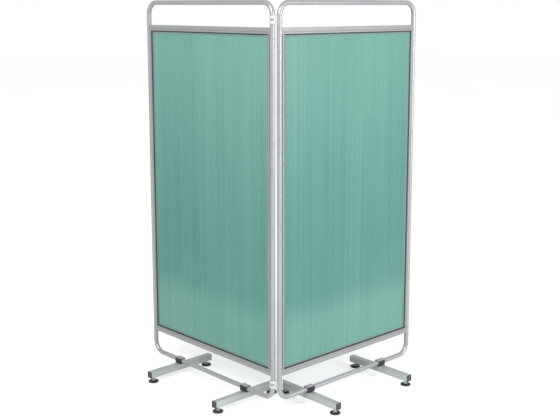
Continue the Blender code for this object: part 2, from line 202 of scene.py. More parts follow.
@dataclass(frozen=True)
class Finish:
    """What every finish has: a name, a colour and how it shines."""

    name: str
    colour: Colour
    roughness: float = 0.5
    metallic: float = 0.0

    def material(self) -> bpy.types.Material:
        """The finish as a material, made once and then shared."""
        title = self.name + "_finish"
        known = bpy.data.materials.get(title)
        if known is not None:
            return known
        recipe = Recipe(title)
        recipe.feed("Metallic", self.metallic)
        self.cook(recipe)
        return recipe.material

    def cook(self, recipe: Recipe) -> None:
        """Fill in the node tree, each kind of finish in its own way."""
        raise NotImplementedError


@dataclass(frozen=True)
class Paint(Finish):
    """Sprayed silver paint: faint mottle, metal flake and orange peel."""

    mottle: float = 0.05
    peel: float = 0.00004

    def cook(self, recipe: Recipe) -> None:
        """Fill in the node tree with mottle, flake and peel.

        Args:
            recipe: The tree to fill.
        """
        cloud = recipe.span(recipe.noise((9, 9, 9), 4), 0.0, 1.0)
        flake = recipe.span(recipe.noise((2600, 2600, 2600), 1), 0.0, 1.0)
        base = recipe.mix(cloud, rgba(self.colour, 1 - self.mottle), rgba(self.colour, 1 + self.mottle))
        speckle = recipe.mix(recipe.math("MULTIPLY", flake, 0.10), base, rgba(self.colour, 1.35))
        recipe.feed("Base Color", speckle)
        recipe.feed("Roughness", recipe.span(recipe.noise((60, 60, 60), 3), self.roughness - 0.05,
                                             self.roughness + 0.06))
        recipe.bump(recipe.noise((420, 420, 420), 2), 0.10, self.peel)


@dataclass(frozen=True)
class DrawnMetal(Finish):
    """Extruded or rolled metal with faint die lines along its length."""

    grain: Grain = Grain.UPRIGHT
    lines: float = 0.06

    def cook(self, recipe: Recipe) -> None:
        """Fill in the node tree with lines that run along the piece.

        Args:
            recipe: The tree to fill.
        """
        fine, slow = 900.0, 4.0
        scale = {Grain.ALONG_X: (slow, fine, fine), Grain.ALONG_Y: (fine, slow, fine),
                 Grain.UPRIGHT: (fine, fine, slow)}[self.grain]
        line = recipe.noise(scale, 4, 0.65)
        cloud = recipe.span(recipe.noise((6, 6, 6), 3), 0.97, 1.03)
        tone = recipe.mix(recipe.span(line, 0.0, 1.0), rgba(self.colour, 1 - self.lines),
                          rgba(self.colour, 1 + self.lines))
        recipe.feed("Base Color", recipe.mix(1.0, tone, recipe.node(
            "ShaderNodeCombineColor", {0: cloud, 1: cloud, 2: cloud}).outputs[0], "MULTIPLY"))
        recipe.feed("Roughness", recipe.span(line, self.roughness - 0.07, self.roughness + 0.08))
        recipe.bump(line, 0.15, 0.00003)


@dataclass(frozen=True)
class Plated(Finish):
    """Zinc-plated steel: slightly clouded, with fine tumbling marks."""

    def cook(self, recipe: Recipe) -> None:
        """Fill in the node tree with clouding and marks.

        Args:
            recipe: The tree to fill.
        """
        cloud = recipe.span(recipe.noise((120, 120, 120), 4), 0.0, 1.0)
        marks = recipe.noise((1500, 1500, 1500), 3, 0.7)
        recipe.feed("Base Color", recipe.mix(cloud, rgba(self.colour, 0.88), rgba(self.colour, 1.08)))
        recipe.feed("Roughness", recipe.span(marks, self.roughness - 0.08, self.roughness + 0.12))
        recipe.bump(marks, 0.12, 0.00003)


@dataclass(frozen=True)
class Moulded(Finish):
    """Injection-moulded plastic with a fine spark-eroded grain and paler rubbed patches."""

    grain_size: float = 0.0006
    rub: float = 0.12

    def cook(self, recipe: Recipe) -> None:
        """Fill in the node tree with grain and rubbed patches.

        Args:
            recipe: The tree to fill.
        """
        fine = 1.0 / self.grain_size
        grain = recipe.noise((fine, fine, fine), 2, 0.6)
        patch = recipe.span(recipe.noise((35, 35, 35), 4), 0.0, 1.0, 0.4, 0.75)
        recipe.feed("Base Color", recipe.mix(patch, rgba(self.colour), rgba(self.colour, 1 + self.rub)))
        recipe.feed("Roughness", recipe.span(grain, self.roughness - 0.08, self.roughness + 0.08))
        recipe.bump(grain, 0.3, 0.00006)


@dataclass(frozen=True)
class RibbedSheet(Finish):
    """Translucent hollow sheet: upright ribs, flow streaks, slow random changes of tint and painted light and
    shade that change with height.
    """

    grain: Grain = Grain.ALONG_X
    rib_pitch: float = 0.011
    pale: Colour = (0.215, 0.475, 0.408)
    light_through: float = 0.25

    def drift(self, recipe: Recipe, height: bpy.types.NodeSocket) -> bpy.types.NodeSocket:
        """Slow painted light and shade with height: a painted top light makes it palest at the top, painted
        shade makes it deepest below the middle, and it is paler again at the foot.

        Args:
            recipe: The tree it is added to.
            height: Height above the floor.

        Returns:
            The socket that carries the change.
        """
        # Painted light and shade: rise paints the sheet paler towards the top, as if lit from above; foot
        # paints it paler below about half a metre, which leaves a painted shaded band between.
        rise = recipe.span(height, 0.0, 0.46, 0.85, 1.80)
        foot = recipe.span(height, 0.38, 0.0, 0.44, 0.57)
        return recipe.math("ADD", rise, foot)

    def cook(self, recipe: Recipe) -> None:
        """Fill in the node tree with ribs, streaks and tint.

        Args:
            recipe: The tree to fill.
        """
        across_x = self.grain is Grain.ALONG_X
        axis = "X" if across_x else "Y"

        def streak(per_metre: float, detail: float, drift: float) -> bpy.types.NodeSocket:
            """Upright streaks of the given fineness that drift slowly with height."""
            scale = (per_metre, 0.0, drift) if across_x else (0.0, per_metre, drift)
            return recipe.noise(scale, detail, 0.6)

        coordinates = recipe.node("ShaderNodeTexCoord").outputs["Object"]
        along = recipe.node("ShaderNodeSeparateXYZ", {0: coordinates}).outputs[axis]
        phase = recipe.math("FRACT", recipe.math("DIVIDE", along, self.rib_pitch))
        ridge = recipe.math("ABSOLUTE", recipe.math("SUBTRACT", phase, 0.5))
        rib = recipe.span(ridge, 0.0, 1.0, 0.30, 0.5)
        broad = recipe.span(streak(9.0, 3, 0.25), 0.0, 1.0)
        narrow = recipe.span(streak(95.0, 3, 0.5), 0.0, 1.0)
        hair = recipe.span(streak(420.0, 2, 0.9), 0.0, 1.0)
        cloud = recipe.span(recipe.noise((1.6, 1.6, 1.1), 2), 0.0, 1.0)
        height = recipe.node("ShaderNodeSeparateXYZ", {0: coordinates}).outputs["Z"]
        # Mix factor: the sheet's own streaks, cloud and ribs, plus the painted light and shade from drift.
        tint_and_painted_light = recipe.math("ADD", recipe.math("MULTIPLY", broad, 0.20), self.drift(recipe, height))
        for source, share in ((narrow, 0.24), (hair, 0.16), (cloud, 0.14), (rib, 0.16)):
            tint_and_painted_light = recipe.math("ADD", tint_and_painted_light, recipe.math("MULTIPLY", source, share))
        recipe.feed("Base Color", recipe.mix(tint_and_painted_light, rgba(self.colour), rgba(self.pale)))
        recipe.feed("Roughness", recipe.span(narrow, self.roughness - 0.05, self.roughness + 0.07, 0.0, 1.0))
        recipe.feed("Transmission Weight", self.light_through)
        recipe.feed("IOR", 1.35)
        relief = recipe.math("ADD", recipe.math("MULTIPLY", rib, 0.7), recipe.math("MULTIPLY", narrow, 0.3))
        recipe.bump(relief, 0.12, 0.00015)


@dataclass(frozen=True)
class Floor(Finish):
    """Plain pale studio floor with a little light of its own where it is seen."""

    glow: float = 0.42

    def cook(self, recipe: Recipe) -> None:
        """Fill in the node tree with an almost even tone.

        Args:
            recipe: The tree to fill.
        """
        cloud = recipe.span(recipe.noise((0.8, 0.8, 0.8), 2), 0.0, 1.0)
        recipe.feed("Base Color", recipe.mix(cloud, rgba(self.colour, 0.995), rgba(self.colour, 1.005)))
        recipe.feed("Roughness", self.roughness)
        recipe.feed("Specular IOR Level", 0.1)
        seen = recipe.node("ShaderNodeLightPath").outputs["Is Camera Ray"]
        recipe.feed("Emission Color", rgba((1.0, 1.0, 1.0)))
        recipe.feed("Emission Strength", recipe.math("MULTIPLY", seen, self.glow))


SILVER = Paint("silver_paint", (0.445, 0.46, 0.48), 0.34, 0.55)
BAR_SILVER = Paint("bar_paint", (0.53, 0.56, 0.565), 0.38, 0.45)
GASKET_RUBBER = Moulded("seal_rubber", (0.020, 0.050, 0.045), 0.75)
CAP_GREY = Moulded("cap_plastic", (0.070, 0.072, 0.078), 0.60)
FOOT_BLACK = Moulded("foot_plastic", (0.028, 0.029, 0.031), 0.48)
SEAT_BLACK = Moulded("seat_plastic", (0.024, 0.025, 0.027), 0.60)
HUB_GREY = Moulded("hub_plastic", (0.50, 0.52, 0.53), 0.50)
CLIP_WHITE = Moulded("clip_plastic", (0.66, 0.67, 0.68), 0.42, rub=0.04)
SADDLE_ZINC = Plated("saddle_zinc", (0.46, 0.48, 0.48), 0.38, 0.55)
BOLT_ZINC = Plated("bolt_zinc", (0.56, 0.57, 0.58), 0.32, 0.75)
STUD_ZINC = Plated("stud_zinc", (0.62, 0.63, 0.64), 0.34, 0.70)
SCREW_ZINC = Plated("screw_zinc", (0.40, 0.40, 0.41), 0.38, 0.70)
STUDIO_FLOOR = Floor("studio_floor", (0.92, 0.92, 0.92), 0.9)


# ---------------------------------------------------------------------------------------------------
# Shapes
# ---------------------------------------------------------------------------------------------------


def moved(matrix: Matrix, bm: BMesh) -> BMesh:
    """Transform a whole mesh in place and hand it back."""
    bmesh.ops.transform(bm, matrix=matrix, verts=bm.verts)
    return bm


def rounded(bm: BMesh, edges: Iterable[BMEdge], width: float, steps: int = 3) -> None:
    """Round the given edges of a mesh to a width, in a number of steps."""
    bmesh.ops.bevel(bm, geom=list(edges), offset=width, offset_type="OFFSET", segments=steps, profile=0.5,
                    affect="EDGES", material=-1, clamp_overlap=True)


def sharp_edges(bm: BMesh, angle: float = 30.0) -> list[BMEdge]:
    """Edges whose two faces meet at more than an angle in degrees."""
    limit = math.radians(angle)
    return [e for e in bm.edges if len(e.link_faces) == 2 and e.calc_face_angle(0.0) > limit]


def block(size: Point, centre: Point, round_to: float = 0.0, steps: int = 3) -> BMesh:
    """A box with all its edges rounded.

    Args:
        size: Length along each axis.
        centre: Its middle.
        round_to: Width of the rounding.
        steps: Segments across the rounding.

    Returns:
        A new mesh.
    """
    bm = bmesh.new()
    bmesh.ops.create_cube(bm, size=1.0)
    bmesh.ops.scale(bm, vec=size, verts=bm.verts)
    if round_to:
        rounded(bm, bm.edges[:], round_to, steps)
    bmesh.ops.translate(bm, vec=centre, verts=bm.verts)
    return bm


def turned(profile: Sequence[tuple[float, float]], steps: int = 32) -> BMesh:
    """A solid of revolution about Z.

    Args:
        profile: (radius, height) pairs, in order along the outside; the ends may lie on the axis.
        steps: Segments round the axis.

    Returns:
        A new mesh.
    """
    bm = bmesh.new()
    verts = [bm.verts.new((radius, 0.0, height)) for radius, height in profile]
    edges = [bm.edges.new(pair) for pair in zip(verts, verts[1:])]
    bmesh.ops.spin(bm, geom=verts + edges, cent=(0, 0, 0), axis=(0, 0, 1), dvec=(0, 0, 0),
                   angle=2 * math.pi, steps=steps, use_merge=True, use_duplicate=False)
    bmesh.ops.remove_doubles(bm, verts=bm.verts, dist=1e-6)
    bmesh.ops.recalc_face_normals(bm, faces=bm.faces)
    return bm


def rod(radius: float, length: float, steps: int = 24, chamfer: float = 0.0) -> BMesh:
    """A round bar from the origin up Z.

    Args:
        radius: Its radius.
        length: Its length.
        steps: Segments round it.
        chamfer: Width taken off its two end edges.

    Returns:
        A new mesh.
    """
    bm = bmesh.new()
    bmesh.ops.create_cone(bm, cap_ends=True, cap_tris=False, segments=steps, radius1=radius, radius2=radius,
                          depth=length)
    if chamfer:
        rounded(bm, sharp_edges(bm, 60), chamfer, 2)
    bmesh.ops.translate(bm, vec=(0, 0, length / 2), verts=bm.verts)
    return bm


def thickened(bm: BMesh, way: Point) -> BMesh:
    """Draw every face of an open mesh out into a solid.

    Args:
        bm: The mesh, changed in place.
        way: How far and in which direction it is drawn out.

    Returns:
        The same mesh.
    """
    drawn = bmesh.ops.extrude_face_region(bm, geom=bm.faces[:])["geom"]
    bmesh.ops.translate(bm, vec=way, verts=[item for item in drawn if isinstance(item, BMVert)])
    bmesh.ops.recalc_face_normals(bm, faces=bm.faces)
    return bm


def extruded(section: Sequence[Point], way: Point) -> BMesh:
    """A prism from a flat outline.

    Args:
        section: Corner points of the outline.
        way: How far and in which direction it is drawn out.

    Returns:
        A new mesh.
    """
    bm = bmesh.new()
    bm.faces.new([bm.verts.new(point) for point in section])
    return thickened(bm, way)


def rounded_square(side: float, radius: float, steps: int = 6) -> list[tuple[float, float]]:
    """Outline of a square with round corners, about the origin.

    Args:
        side: Its side.
        radius: Corner radius.
        steps: Segments round each corner.

    Returns:
        The corner points, anticlockwise.
    """
    half = side / 2 - radius
    outline = []
    for quarter, (x, y) in enumerate(((half, half), (-half, half), (-half, -half), (half, -half))):
        outline += [(x + a, y + b) for a, b in arc_points(radius, quarter * 90, quarter * 90 + 90, steps)]
    return outline


def lofted(rings: Sequence[Sequence[Point]]) -> BMesh:
    """A closed skin over rings of equally many points, capped at both ends.

    Args:
        rings: The rings in order, each a list of points.

    Returns:
        A new mesh.
    """
    bm = bmesh.new()
    rows = []
    for ring in rings:
        verts = [bm.verts.new(point) for point in ring]
        edges = [bm.edges.new((a, b)) for a, b in zip(verts, verts[1:] + verts[:1])]
        if rows:
            bmesh.ops.bridge_loops(bm, edges=rows[-1] + edges)
        rows.append(edges)
    bmesh.ops.contextual_create(bm, geom=rows[0])
    bmesh.ops.contextual_create(bm, geom=rows[-1])
    bmesh.ops.recalc_face_normals(bm, faces=bm.faces)
    return bm


def slices(bm: BMesh, axis: Point, offsets: Iterable[float]) -> None:
    """Cut a mesh by planes square to an axis at the given offsets, keeping both sides."""
    for offset in offsets:
        bmesh.ops.bisect_plane(bm, geom=bm.verts[:] + bm.edges[:] + bm.faces[:], dist=1e-7,
                               plane_co=Vector(axis) * offset, plane_no=axis)


def joined(parts: Iterable[BMesh]) -> BMesh:
    """Put several meshes into one.

    Args:
        parts: The meshes, used up.

    Returns:
        A new mesh.
    """
    whole = bmesh.new()
    for part in parts:
        carrier = bpy.data.meshes.new("carrier")
        part.to_mesh(carrier)
        part.free()
        whole.from_mesh(carrier)
        bpy.data.meshes.remove(carrier)
    return whole


def arc_points(radius: float, start: float, end: float, steps: int) -> list[tuple[float, float]]:
    """Points on an arc about the origin between two angles in degrees, both ends included."""
    angles = [math.radians(start + (end - start) * k / steps) for k in range(steps + 1)]
    return [(radius * math.cos(a), radius * math.sin(a)) for a in angles]


def in_scene(name: str, data: bpy.types.ID) -> bpy.types.Object:
    """Make an object and link it to the scene.

    Args:
        name: The object's name.
        data: Its mesh, lamp or camera.

    Returns:
        The new object.
    """
    made = bpy.data.objects.new(name, data)
    bpy.context.scene.collection.objects.link(made)
    return made


# ---------------------------------------------------------------------------------------------------
# The screen
# ---------------------------------------------------------------------------------------------------


@dataclass
class Stock:
    """Sizes that several sub-assemblies share."""

    tube_radius: float = 0.0125
    upright_gap: float = 0.008
    bend_radius: float = 0.062
    wing_span: float = 0.990
    bar_side: float = 0.035
    bar_reach: float = 0.212
    foot_height: float = 0.0272
    foot_reach: float = 0.185
    seat_depth: float = 0.0042
    sheet_thickness: float = 0.006
    sheet_offset: float = -0.002
    rail_depth: float = 0.022

    @property
    def bar_top(self) -> float:
        """Height of the outriggers' upper faces."""
        return self.foot_height + self.bar_side

    @property
    def bar_middle(self) -> float:
        """Height of the outriggers' axes."""
        return self.foot_height + self.bar_side / 2

    @property
    def tube_low(self) -> float:
        """Height of the bottom tube's axis."""
        return self.bar_top + self.seat_depth + self.tube_radius


@dataclass
class WingPlan:
    """Where one wing stands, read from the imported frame."""

    side: Side
    stock: Stock

    def __post_init__(self) -> None:
        """Read the wing's hinge axis and heights from its CAD pieces."""
        name = self.side.value
        low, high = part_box("loop_" + name)
        radius = self.stock.tube_radius
        if self.side is Side.LEFT:
            self.hinge = Vector(((low.x + high.x) / 2, low.y + radius, 0.0))
            axes = ((0, -1, 0), (1, 0, 0), (0, 0, 1))
        else:
            self.hinge = Vector((low.x + radius, (low.y + high.y) / 2, 0.0))
            axes = ((1, 0, 0), (0, -1, 0), (0, 0, 1))
        self.frame = Matrix.Translation(self.hinge) @ Matrix(axes).to_4x4()
        self.body = name + "_wing"
        self.loop_low, self.loop_high = low.z, high.z
        self.top_rail_low, self.top_rail_high = (corner.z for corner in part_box("top_rail_" + name))
        self.bottom_rail_low, self.bottom_rail_high = (corner.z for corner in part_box("bottom_rail_" + name))

    @property
    def grain(self) -> Grain:
        """The world axis that runs along this wing."""
        return Grain.ALONG_Y if self.side is Side.LEFT else Grain.ALONG_X

    def along(self, node: str) -> float:
        """Distance of a CAD node's middle from the hinge axis, along the wing.

        Args:
            node: The node's name.

        Returns:
            The distance.
        """
        low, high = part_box(node)
        middle = (low + high) / 2 - self.hinge
        return middle.y if self.side is Side.LEFT else middle.x

    def add(self, name: str, bm: BMesh, finish: Finish, slot: str, *nodes: str,
            body: Optional[str] = None, smooth: float = 40.0) -> bpy.types.Object:
        """Set a finished mesh in its place in the row frame and let it ride.

        Args:
            name: The piece's name.
            bm: Its mesh in wing coordinates, used up.
            finish: Its finish.
            slot: The record's material slot it belongs to; not used.
            *nodes: CAD nodes that it stands for.
            body: The body it rides on, if not this wing's.
            smooth: Edges sharper than this angle stay crisp, in degrees.

        Returns:
            The new object.
        """
        moved(self.frame, bm)
        if self.frame.determinant() < 0:
            bmesh.ops.reverse_faces(bm, faces=bm.faces)
        return add_piece(name, bm, finish, nodes, body or self.body, smooth)


def add_piece(name: str, bm: BMesh, finish: Finish, nodes: Sequence[str], body: str,
              smooth: float = 40.0) -> bpy.types.Object:
    """Make an object of a mesh that is already in the row frame.

    Args:
        name: The piece's name.
        bm: Its mesh, used up.
        finish: Its finish.
        nodes: CAD nodes that it stands for.
        body: The body it rides on.
        smooth: Edges sharper than this angle stay crisp, in degrees.

    Returns:
        The new object.
    """
    mesh = bpy.data.meshes.new(name)
    bm.to_mesh(mesh)
    bm.free()
    mesh.shade_smooth()
    mesh.set_sharp_from_angle(angle=math.radians(smooth))
    mesh.materials.append(finish.material())
    piece = in_scene(name, mesh)
    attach(piece, body)
    if nodes:
        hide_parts(*nodes)
    LOG.info("%s: %d faces on %s", name, len(mesh.polygons), body)
    return piece


@dataclass
class TubeLoop:
    """The bent tube that frames one wing."""

    plan: WingPlan
    stock: Stock
    facets: int = 36
    bend_steps: int = 16

    def build(self) -> BMesh:
        """The closed tube, drawn out along the straights and spun round the bends."""
        s, p = self.stock, self.plan
        low, high = p.loop_low + s.tube_radius, p.loop_high - s.tube_radius
        far, bend = s.wing_span, s.bend_radius
        bm = bmesh.new()
        ring = bmesh.ops.create_circle(bm, segments=self.facets, radius=s.tube_radius)["verts"]
        bmesh.ops.rotate(bm, verts=ring, cent=(0, 0, 0), matrix=Matrix.Rotation(math.pi / 2, 3, "Y"))
        bmesh.ops.translate(bm, vec=(bend, 0, low), verts=ring)
        run, rise = far - 2 * bend, high - low - 2 * bend
        legs = (((run, 0, 0), (far - bend, low + bend)), ((0, 0, rise), (far - bend, high - bend)),
                ((-run, 0, 0), (bend, high - bend)), ((0, 0, -rise), (bend, low + bend)))
        rim = bm.edges[:]
        for way, (u, z) in legs:
            drawn = bmesh.ops.extrude_edge_only(bm, edges=rim)["geom"]
            bmesh.ops.translate(bm, vec=way, verts=[v for v in drawn if isinstance(v, BMVert)])
            rim = [e for e in drawn if isinstance(e, BMEdge)]
            spun = bmesh.ops.spin(bm, geom=rim, cent=(u, 0, z), axis=(0, -1, 0), dvec=(0, 0, 0),
                                  angle=math.pi / 2, steps=self.bend_steps, use_merge=False,
                                  use_duplicate=False)["geom_last"]
            rim = [e for e in spun if isinstance(e, BMEdge)]
        bmesh.ops.remove_doubles(bm, verts=bm.verts, dist=1e-5)
        bmesh.ops.recalc_face_normals(bm, faces=bm.faces)
        return bm

    def dress(self) -> None:
        """Add the loop with its silver paint."""
        name = self.plan.side.value
        self.plan.add("tube_loop_" + name, self.build(), SILVER, "silver_paint", "loop_" + name)


@dataclass
class PanelFrame:
    """Rails, stiles, edge seal, edge band and ribbed sheet of one wing."""

    plan: WingPlan
    stock: Stock
    stile_start: float = 0.0128
    stile_width: float = 0.010
    stile_web: float = 0.0042
    lip_height: float = 0.0075
    groove_width: float = 0.0022
    groove_depth: float = 0.0020
    lip_step: float = 0.0012
    seal_showing: float = 0.0060
    seal_bead: float = 0.0014
    band_width: float = 0.010
    band_thickness: float = 0.0004
    slot_half: float = 0.0051
    slot_depth: float = 0.006
    profile_ease: float = 0.0005
    cope_step: float = 0.002
    seal_reach: float = 0.005
    seal_lift: float = 0.0002
    band_tuck: float = 0.003
    band_sink: float = 0.0001
    sheet_reach: float = 0.0038
    rib_pitch: float = 0.011
    rib_dent: float = 0.00012

    def rail_section(self, outer: float, inner: float) -> list[Point]:
        """Section of a rail in wing coordinates, from its outer edge to its slotted edge.

        Args:
            outer: Height of the edge that faces away from the sheet.
            inner: Height of the edge that holds the sheet.

        Returns:
            Corner points round the section, at the start of the wing.
        """
        way = 1.0 if inner > outer else -1.0
        front = self.stock.rail_depth / 2
        lip = inner - way * self.lip_height
        groove = lip - way * self.groove_width
        slot = self.stock.sheet_offset
        depth = inner - way * self.slot_depth
        return [(0, -front, outer), (0, front - self.lip_step, outer),
                (0, front - self.lip_step, groove), (0, front - self.lip_step - self.groove_depth, groove),
                (0, front - self.lip_step - self.groove_depth, lip), (0, front, lip), (0, front, inner),
                (0, slot + self.slot_half, inner), (0, slot + self.slot_half, depth),
                (0, slot - self.slot_half, depth), (0, slot - self.slot_half, inner), (0, -front, inner)]

    def build_rail(self, outer: float, inner: float) -> BMesh:
        """One rail with eased edges and ends shaped to the round uprights.

        Args:
            outer: Height of the edge that faces away from the sheet.
            inner: Height of the edge that holds the sheet.

        Returns:
            A new mesh.
        """
        radius, span = self.stock.tube_radius, self.stock.wing_span
        bm = extruded(self.rail_section(outer, inner), (span, 0, 0))
        long_edges = [e for e in sharp_edges(bm) if abs(e.verts[0].co.x - e.verts[1].co.x) > span / 2]
        rounded(bm, long_edges, self.profile_ease, 2)
        slices(bm, (0, 1, 0), [k * self.cope_step for k in range(-4, 5)])
        for vert in bm.verts:
            hollow = math.sqrt(max(radius ** 2 - vert.co.y ** 2, 0.0))
            vert.co.x = hollow if vert.co.x < span / 2 else span - hollow
        bmesh.ops.recalc_face_normals(bm, faces=bm.faces)
        return bm

    def build_stile(self, place: Place) -> BMesh:
        """One narrow slotted profile beside an upright.

        Args:
            place: Which upright it stands beside.

        Returns:
            A new mesh.
        """
        s, p = self.stock, self.plan
        front, slot = s.rail_depth / 2, s.sheet_offset
        start, end = self.stile_start, self.stile_start + self.stile_width
        web = start + self.stile_web
        step = self.lip_step
        outline = [(start, -front), (end, -front), (end, slot - self.slot_half), (web, slot - self.slot_half),
                   (web, slot + self.slot_half), (end, slot + self.slot_half), (end, front - step),
                   (end - 0.004, front), (start, front)]
        if place is Place.OUTER:
            outline = [(s.wing_span - u, n) for u, n in outline]
        low, high = p.bottom_rail_high, p.top_rail_low
        bm = extruded([(u, n, low) for u, n in outline], (0, 0, high - low))
        upright = [e for e in sharp_edges(bm, 15) if abs(e.verts[0].co.z - e.verts[1].co.z) > (high - low) / 2]
        rounded(bm, upright, self.profile_ease, 2)
        return bm

    def opening(self, inset: float) -> tuple[Vector, Vector]:
        """Lower and upper corner of the panel opening, drawn in from the profiles' inner edges.

        Args:
            inset: How far inside those edges; negative reaches into their slots.

        Returns:
            The two corners, at the wing's middle plane.
        """
        edge = self.stile_start + self.stile_width + inset
        low = Vector((edge, 0, self.plan.bottom_rail_high + inset))
        high = Vector((self.stock.wing_span - edge, 0, self.plan.top_rail_low - inset))
        return low, high

    def build_ring(self, outside: float, width: float, back: float, front: float, ease: float) -> BMesh:
        """A flat rectangular ring.

        Args:
            outside: Inset of its outer edge from the profiles' inner edges.
            width: Its width.
            back: Rear face, across the wing.
            front: Front face, across the wing.
            ease: Rounding of its inner edges.

        Returns:
            A new mesh.
        """
        low, high = self.opening(outside)
        bm = bmesh.new()
        corners = ((low.x, low.z), (high.x, low.z), (high.x, high.z), (low.x, high.z))
        face = bm.faces.new([bm.verts.new((u, back, z)) for u, z in corners])
        face.normal_update()
        bmesh.ops.inset_individual(bm, faces=[face], thickness=width, depth=0.0, use_even_offset=True)
        bmesh.ops.delete(bm, geom=[face], context="FACES")
        thickened(bm, (0, front - back, 0))
        inner_low, inner_high = low.x + width, high.x - width
        chosen = [e for e in sharp_edges(bm, 60)
                  if all(inner_low - 1e-5 < v.co.x < inner_high + 1e-5 for v in e.verts)
                  and abs(e.verts[0].co.y - e.verts[1].co.y) < 1e-6]
        rounded(bm, chosen, ease, 3)
        return bm

    def build_both_faces(self, outside: float, width: float, near: float, far: float, ease: float) -> BMesh:
        """The same ring on the front and the rear face of the sheet.

        Args:
            outside: Inset of the rings' outer edges from the profiles' inner edges.
            width: Their width.
            near: Height of their undersides over the sheet; negative sinks them in.
            far: Height of their outer faces over the sheet.
            ease: Rounding of their inner edges.

        Returns:
            A new mesh.
        """
        s = self.stock
        front = s.sheet_offset + s.sheet_thickness / 2
        back = s.sheet_offset - s.sheet_thickness / 2
        return joined([self.build_ring(outside, width, front + near, front + far, ease),
                       self.build_ring(outside, width, back - far, back - near, ease)])

    def build_seal(self) -> BMesh:
        """Front and rear lips of the edge seal."""
        return self.build_both_faces(-self.seal_reach, self.seal_showing + self.seal_reach, self.seal_lift,
                                     self.seal_lift + self.seal_bead, self.seal_bead * 0.6)

    def build_band(self) -> BMesh:
        """The thin edge tape on both faces of the sheet, tucked under the seal."""
        return self.build_both_faces(self.seal_showing - self.band_tuck, self.band_width + self.band_tuck,
                                     -self.band_sink, self.band_thickness, self.band_sink)

    def build_sheet(self) -> BMesh:
        """The hollow sheet's outside, with its skins drawn in slightly at every rib."""
        s = self.stock
        low, high = self.opening(-self.sheet_reach)
        width, ribs = high.x - low.x, round((high.x - low.x) / self.rib_pitch)
        bm = bmesh.new()
        bmesh.ops.create_grid(bm, x_segments=ribs * 4, y_segments=2, size=0.5)
        bmesh.ops.scale(bm, vec=(width, s.sheet_thickness, 1), verts=bm.verts)
        for vert in bm.verts:
            phase = ((vert.co.x / width + 0.5) * ribs) % 1.0
            dent = self.rib_dent * max(0.0, math.cos(2 * math.pi * phase)) ** 2
            vert.co.y -= math.copysign(dent, vert.co.y) if abs(vert.co.y) > 1e-6 else 0.0
        bmesh.ops.translate(bm, vec=((low.x + high.x) / 2, s.sheet_offset, low.z), verts=bm.verts)
        return thickened(bm, (0, 0, high.z - low.z))

    def dress(self) -> None:
        """Add every piece of the panel."""
        p, name = self.plan, self.plan.side.value
        rail = DrawnMetal("rail_metal_" + name, (0.38, 0.385, 0.395), 0.42, 0.40, p.grain)
        stile = DrawnMetal("stile_metal", (0.36, 0.375, 0.38), 0.44, 0.35, Grain.UPRIGHT)
        sheet = RibbedSheet("ribbed_sheet_" + name, (0.072, 0.268, 0.232), 0.30, 0.0, p.grain,
                            self.rib_pitch)
        band = DrawnMetal("edge_tape", (0.20, 0.285, 0.265), 0.50, 0.10, Grain.UPRIGHT, 0.03)
        for level, outer, inner in (("top", p.top_rail_high, p.top_rail_low),
                                    ("bottom", p.bottom_rail_low, p.bottom_rail_high)):
            p.add(f"{level}_rail_profile_{name}", self.build_rail(outer, inner), rail, "rail_aluminium",
                  f"{level}_rail_{name}")
        for place in Place:
            p.add(f"{place.value}_stile_profile_{name}", self.build_stile(place), stile,
                  "stile_aluminium", f"{place.value}_stile_{name}")
        p.add("edge_seal_" + name, self.build_seal(), GASKET_RUBBER, "dark_rubber", "gasket_" + name)
        p.add("edge_tape_" + name, self.build_band(), band, "tinted_sheet")
        p.add("ribbed_sheet_" + name, self.build_sheet(), sheet, "tinted_sheet", "sheet_" + name, smooth=60)


@dataclass
class PanelScrews:
    """Domed screws on the outer side of both uprights of one wing."""

    plan: WingPlan
    stock: Stock
    head_radius: float = 0.0040
    head_height: float = 0.0013

    def build(self) -> BMesh:
        """One screw head about Z, seated at the origin, with a round recess."""
        r, h = self.head_radius, self.head_height
        return turned([(0, -0.003), (r * 0.5, -0.003), (r * 0.5, -0.0006), (r, -0.0006), (r, h * 0.3),
                       (r * 0.93, h * 0.55), (r * 0.72, h * 0.85), (r * 0.42, h), (r * 0.34, h * 0.45),
                       (0, h * 0.3)], 24)

    def dress(self) -> None:
        """Add four screws, each where its CAD node is."""
        side, radius = self.plan.side.value, self.stock.tube_radius
        for place in Place:
            inner = place is Place.INNER
            base = Vector((-radius if inner else self.stock.wing_span + radius, 0, 0))
            turn = Matrix.Rotation(-math.pi / 2 if inner else math.pi / 2, 4, "Y")
            for level in ("upper", "lower"):
                node = f"screw_{side}_{place.value}_{level}"
                low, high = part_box(node)
                base.z = (low.z + high.z) / 2
                bm = moved(Matrix.Translation(base) @ turn, self.build())
                self.plan.add(f"screw_head_{side}_{place.value}_{level}", bm, SCREW_ZINC, "screw_steel", node)


